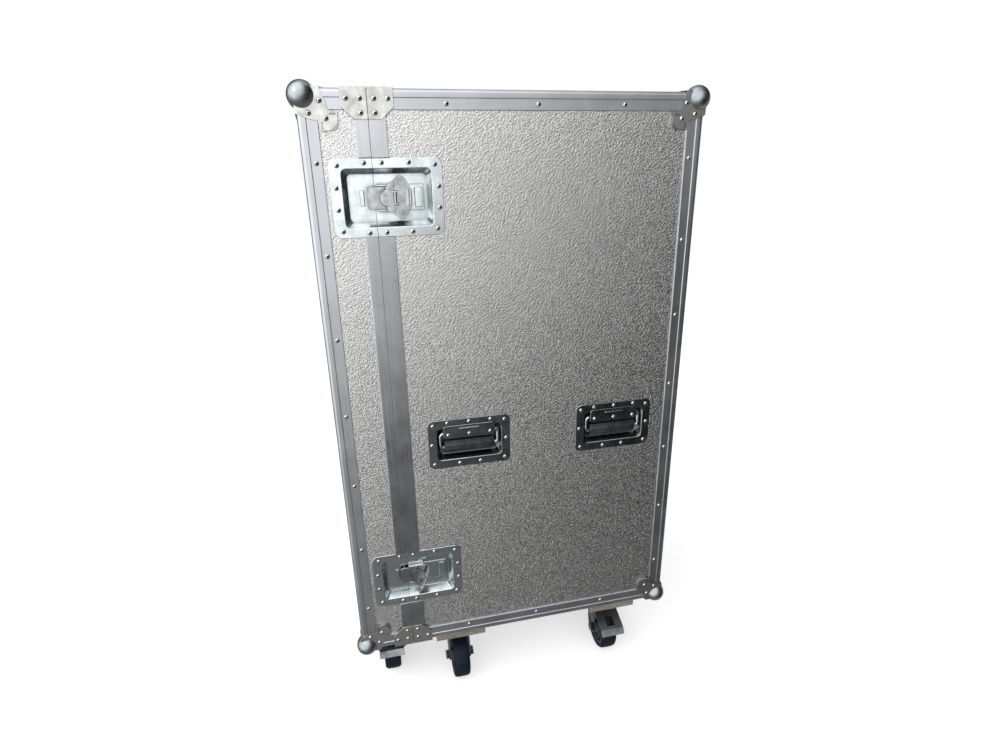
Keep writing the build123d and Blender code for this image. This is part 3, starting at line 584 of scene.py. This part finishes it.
def markBalls(shape):
    # the ball of each corner takes the second material, its leg plates keep the first
    radius = ballFacts["radius"]
    nearest, farthest = radius - ballFacts["inside"], radius + ballFacts["outside"]
    for island in islandsOf(shape):
        low, high = islandBox(island)
        centre = Vector([high[i] - radius if low[i] > caseMiddle[i] else low[i] + radius
                         for i in range(3)])
        for face in {face for vert in island for face in vert.link_faces}:
            reach = [(vert.co - centre).length for vert in face.verts]
            if max(reach) < farthest and min(reach) > nearest:
                face.material_index = 1


def roundedCopy(node, width):
    shape = mergedCopy(node)
    bmesh.ops.dissolve_limit(shape, angle_limit=radians(roundingFacts["flatWithin"]),
                             verts=shape.verts[:], edges=shape.edges[:])
    addGrain(shape)
    if "ball_corners" in node:
        markBalls(shape)
    mesh = meshFrom(shape, node + "_rounded")
    slot = nodeSlot[node]
    material = slotMaterial[slot]
    for part, finish in ownFinish.items():
        material = finish if part in node else material
    piece = finishPiece(node + "_rounded", mesh, material, nodeBody[node], [node])
    if "ball_corners" in node:
        mesh.materials.append(cornerSteel)
    bevel = piece.modifiers.new("edges", "BEVEL")
    bevel.width = width
    bevel.segments = roundingFacts["segments"]
    bevel.limit_method = "ANGLE"
    bevel.angle_limit = radians(roundingFacts["sharperThan"])
    bevel.use_clamp_overlap = True
    weighted = piece.modifiers.new("shading", "WEIGHTED_NORMAL")
    weighted.keep_sharp = True


for node in sorted(cadNodes):
    for part, width in edgeRounding.items():
        if part in node:
            roundedCopy(node, width)
            break
    else:
        cadNodes[node].data.materials.clear()
        cadNodes[node].data.materials.append(slotMaterial[nodeSlot[node]])
print("metal parts rounded")


def spunShape(profile, steps, place):
    # a closed outline of (radius, along) points, turned round the X axis of its place
    shape = bmesh.new()
    points = [shape.verts.new((along, radius, 0)) for radius, along in profile]
    edges = [shape.edges.new(pair) for pair in zip(points, points[1:] + points[:1])]
    bmesh.ops.spin(shape, geom=points + edges, cent=(0, 0, 0), axis=(1, 0, 0), angle=2 * pi,
                   steps=steps, use_merge=True)
    bmesh.ops.remove_doubles(shape, verts=shape.verts[:], dist=0.000005)
    bmesh.ops.translate(shape, verts=shape.verts[:], vec=place)
    return shape


def appendCopy(shape, pattern, matrix):
    first = len(shape.verts)
    shape.from_mesh(pattern)
    shape.verts.ensure_lookup_table()
    bmesh.ops.transform(shape, matrix=matrix, verts=shape.verts[first:])


rivetFacts = {  # mm: the outline as (radius, height), the pit as the radius it stays inside
    "outline": ((0, 0), (4.0, 0), (3.55, 0.95), (1.7, 1.55), (1.35, 0.8), (0, 0.8)),
    "steps": 10,
    "pit": 1.75,
    "sharp": 50,  # degrees
}


def rivetPattern():
    # a domed head with the dimple left by its mandrel, standing up from the origin; the dimple is
    # near-black, painted shade
    shape = bmesh.new()
    outline = rivetFacts["outline"]
    points = [shape.verts.new((radius / 1000, 0, up / 1000)) for radius, up in outline]
    edges = [shape.edges.new(pair) for pair in zip(points, points[1:])]
    bmesh.ops.spin(shape, geom=points + edges, cent=(0, 0, 0), axis=(0, 0, 1), angle=2 * pi,
                   steps=rivetFacts["steps"], use_merge=True)
    bmesh.ops.remove_doubles(shape, verts=shape.verts[:], dist=0.00001)
    # painted shade: the faces inside the pit take the near-black second material
    for face in shape.faces:
        reach = max(vert.co.xy.length for vert in face.verts)
        if face.calc_center_median().z > 0 and reach < rivetFacts["pit"] / 1000:
            face.material_index = 1
    return meshFrom(shape, "rivetPattern")


def makeRivets(node, pattern):
    heads = mergedCopy(node)
    shape = bmesh.new()
    for island in islandsOf(heads):
        low, high = islandBox(island)
        size = high - low
        thin = min(range(3), key=lambda i: size[i])
        centre = (low + high) / 2
        outwards = Vector((0, 0, 0))
        outwards[thin] = 1 if centre[thin] > caseMiddle[thin] else -1
        base = centre.copy()
        base[thin] = low[thin] if outwards[thin] > 0 else high[thin]
        turn = outwards.to_track_quat("Z", "Y").to_matrix().to_4x4()
        appendCopy(shape, pattern, Matrix.Translation(base) @ turn)
    heads.free()
    mesh = meshFrom(shape, node + "_domed")
    finishPiece(node + "_domed", mesh, slotMaterial["rivet_steel"], nodeBody[node],
                [node], sharp=rivetFacts["sharp"])
    mesh.materials.append(shadedRivetPit)


rivetMesh = rivetPattern()
makeRivets("body_rivets", rivetMesh)
makeRivets("lid_rivets", rivetMesh)
print("rivets made")

wheelFacts = {  # mm: outlines as (radius, along the axle from the middle)
    "tread": (
        (38, -15.5), (40, -17.2), (44, -17.8), (47, -16.8), (49, -14.2), (49.8, -10), (50, 0),
        (49.8, 10), (49, 14.2), (47, 16.8), (44, 17.8), (40, 17.2), (38, 15.5),
    ),
    "hub": (
        (6.4, -20.5), (12.6, -20.5), (14, -19.2), (14, -6), (32.5, -4), (34.4, -15.4), (38.1, -16),
        (38.1, 16), (34.4, 15.4), (32.5, 4), (14, 6), (14, 18.2), (12.6, 19.5), (6.4, 19.5),
    ),
    "steps": 72,
    "fromLowSide": 21,  # from the hub's low end to the middle of the tread
    "ribs": 10,
    "rib": (24, 20.5, 1.8),  # along the axle, outwards, thickness
    "ribMiddle": 23.6,  # radius at the middle of a rib
}


def scaled(outline):
    return [(radius / 1000, along / 1000) for radius, along in outline]


def makeWheel(node):
    low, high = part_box(node)
    axle = low.x + wheelFacts["fromLowSide"] / 1000
    centre = Vector((axle, (low.y + high.y) / 2, (low.z + high.z) / 2))
    body = nodeBody[node]
    tread = spunShape(scaled(wheelFacts["tread"]), wheelFacts["steps"], centre)
    mesh = meshFrom(tread, node + "_tread")
    finishPiece(node + "_tread", mesh, slotMaterial["blue_tread"], body, [node])
    hub = spunShape(scaled(wheelFacts["hub"]), wheelFacts["steps"], centre)
    for step in range(wheelFacts["ribs"]):
        rib = bmesh.ops.create_cube(hub, size=1)["verts"]
        bmesh.ops.scale(hub, verts=rib, vec=Vector(wheelFacts["rib"]) / 1000)
        bmesh.ops.translate(hub, verts=rib, vec=(0, wheelFacts["ribMiddle"] / 1000, 0))
        turn = Matrix.Rotation(2 * pi * step / wheelFacts["ribs"], 3, "X")
        bmesh.ops.rotate(hub, verts=rib, cent=(0, 0, 0), matrix=turn)
        bmesh.ops.translate(hub, verts=rib, vec=centre)
    mesh = meshFrom(hub, node + "_hub")
    finishPiece(node + "_hub", mesh, hubNylon, body, [node])


for node in sorted(cadNodes):
    if node.endswith("_castor_wheel"):
        makeWheel(node)
print("castor wheels made")

gripFacts = {
    "sides": 72,
    "flutes": 12,
    "fluteDepth": 0.07,  # share of the radius
    "endRounding": 0.0035,
}


def makeGrip(node):
    # an oval rubber sleeve with shallow lengthwise flutes and rounded ends
    low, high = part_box(node)
    size = high - low
    shape = bmesh.new()
    sides = gripFacts["sides"]
    rim = bmesh.ops.create_circle(shape, cap_ends=True, segments=sides, radius=0.5)["verts"]
    for index, vert in enumerate(rim):
        wave = max(0.0, cos(2 * pi * index * gripFacts["flutes"] / sides))
        vert.co *= 1 - gripFacts["fluteDepth"] * wave
    turn = Matrix.Rotation(pi / 2, 3, "Y")
    bmesh.ops.rotate(shape, verts=shape.verts[:], cent=(0, 0, 0), matrix=turn)
    bmesh.ops.scale(shape, verts=shape.verts[:], vec=(1, size.y, size.z))
    extruded = bmesh.ops.extrude_face_region(shape, geom=shape.faces[:])["geom"]
    farRim = [part for part in extruded if isinstance(part, bmesh.types.BMVert)]
    bmesh.ops.translate(shape, verts=farRim, vec=(size.x, 0, 0))
    rims = [edge for edge in shape.edges if any(len(face.verts) > 4 for face in edge.link_faces)]
    bmesh.ops.bevel(shape, geom=rims, offset=gripFacts["endRounding"], offset_type="OFFSET",
                    affect="EDGES", segments=3, profile=0.5, material=-1)
    centre = (low + high) / 2
    bmesh.ops.translate(shape, verts=shape.verts[:], vec=(low.x, centre.y, centre.z))
    mesh = meshFrom(shape, node + "_sleeve")
    rubber = slotMaterial["black_rubber"]
    finishPiece(node + "_sleeve", mesh, rubber, nodeBody[node], [node])


for node in sorted(cadNodes):
    if node.endswith("_handle_grip"):
        makeGrip(node)
print("grips made")

foamFacts = {  # metres
    "thickness": 0.014,
    "step": 0.0065,
    "pitch": 0.026,
    "valley": 0.42,  # share of the thickness left in the hollows
    "wall": 0.010,  # a dish reaches inside only where it is deeper than this
    "clearOfDish": 0.008,
    "sharp": 80,  # degrees
}


def pocketHoles(onFront):
    # where a recessed dish comes through the wall, as low and high corners
    holes = []
    clear = Vector((1, 1, 1)) * foamFacts["clearOfDish"]
    nearest, farthest = caseLow.y + foamFacts["wall"], caseHigh.y - foamFacts["wall"]
    for node in ("body_latch_dishes", "handle_dishes"):
        shape = mergedCopy(node)
        for island in islandsOf(shape):
            inside = [vert for vert in island if nearest < vert.co.y < farthest]
            if inside and (inside[0].co.y < caseMiddle.y) == onFront:
                low, high = islandBox(inside)
                holes.append((low - clear, high + clear))
        shape.free()
    return holes


def bumpHeight(place):
    pitch, valley = foamFacts["pitch"], foamFacts["valley"]
    wave = cos(2 * pi * place.x / pitch) * cos(2 * pi * place.y / pitch)
    return foamFacts["thickness"] * (valley + (1 - valley) * (0.5 + 0.5 * wave))


def makeFoamSheet(name, corner, along, up, inwards, holes=()):
    # an egg-crate sheet: flat against its wall, with rows of bumps facing the inside
    width, height = along.length, up.length
    columns, rows = round(width / foamFacts["step"]), round(height / foamFacts["step"])
    shape = bmesh.new()
    bmesh.ops.create_grid(shape, x_segments=columns, y_segments=rows, size=0.5)
    bmesh.ops.translate(shape, verts=shape.verts[:], vec=(0.5, 0.5, 0))
    bmesh.ops.scale(shape, verts=shape.verts[:], vec=(width, height, 1))
    place = Matrix((along.normalized(), up.normalized(), inwards)).transposed().to_4x4()
    place.translation = corner
    covered = []
    for face in shape.faces:
        middle = place @ face.calc_center_median()
        if any(low.x < middle.x < high.x and low.z < middle.z < high.z for low, high in holes):
            covered.append(face)
    bmesh.ops.delete(shape, geom=covered, context="FACES")
    for part in bmesh.ops.extrude_face_region(shape, geom=shape.faces[:])["geom"]:
        if isinstance(part, bmesh.types.BMVert):
            part.co.z = bumpHeight(part.co)
    bmesh.ops.transform(shape, matrix=place, verts=shape.verts[:])
    node = "body_foam_lining"
    piece = finishPiece(name, meshFrom(shape, name), slotMaterial["grey_foam"], nodeBody[node],
                        [node], sharp=foamFacts["sharp"])


def lineWithFoam():
    low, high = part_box("body_foam_lining")
    thick = foamFacts["thickness"]
    alongX = Vector((high.x - low.x, 0, 0))
    alongY = Vector((0, high.y - low.y - 2 * thick, 0))
    alongZ = Vector((0, 0, high.z - low.z))
    shortX = alongX - Vector((thick, 0, 0))
    insideY = low.y + thick
    backCorner = Vector((low.x, high.y, low.z))
    bottomCorner = Vector((low.x, insideY, low.z))
    topCorner = Vector((low.x, insideY, high.z))
    endCorner = Vector((high.x, insideY, low.z))
    makeFoamSheet("foam_front", low, alongX, alongZ, Vector((0, 1, 0)), pocketHoles(True))
    makeFoamSheet("foam_back", backCorner, alongX, alongZ, Vector((0, -1, 0)), pocketHoles(False))
    makeFoamSheet("foam_bottom", bottomCorner, shortX, alongY, Vector((0, 0, 1)))
    makeFoamSheet("foam_top", topCorner, shortX, alongY, Vector((0, 0, -1)))
    makeFoamSheet("foam_end", endCorner, alongY, alongZ, Vector((-1, 0, 0)))


lineWithFoam()
print("foam lining made")


floorFacts = {
    "size": 14,
    "colour": (0.80, 0.80, 0.80),
    "tints": ((0.3, (0.79, 0.79, 0.79)), (0.7, (0.82, 0.82, 0.82))),
    "cloudScale": 1.2,
    "glow": 0.55,
}


def makeFloor():
    # pale and faintly glowing, so that it runs into the backdrop
    shape = bmesh.new()
    bmesh.ops.create_grid(shape, x_segments=2, y_segments=2, size=floorFacts["size"])
    mesh = meshFrom(shape, "studioFloor")
    material, tree, shader = newMaterial("paleFloor", floorFacts["colour"], 0, 0.8)
    cloud = noiseField(tree, objectPlace(tree), floorFacts["cloudScale"], 3)
    tree.links.new(tintField(tree, cloud, *floorFacts["tints"]), shader.inputs["Base Color"])
    shader.inputs["Emission Color"].default_value = (1, 1, 1, 1)
    shader.inputs["Emission Strength"].default_value = floorFacts["glow"]
    floor = linkObject("studioFloor", mesh)
    floor.visible_glossy = False
    mesh.materials.append(material)


makeFloor()
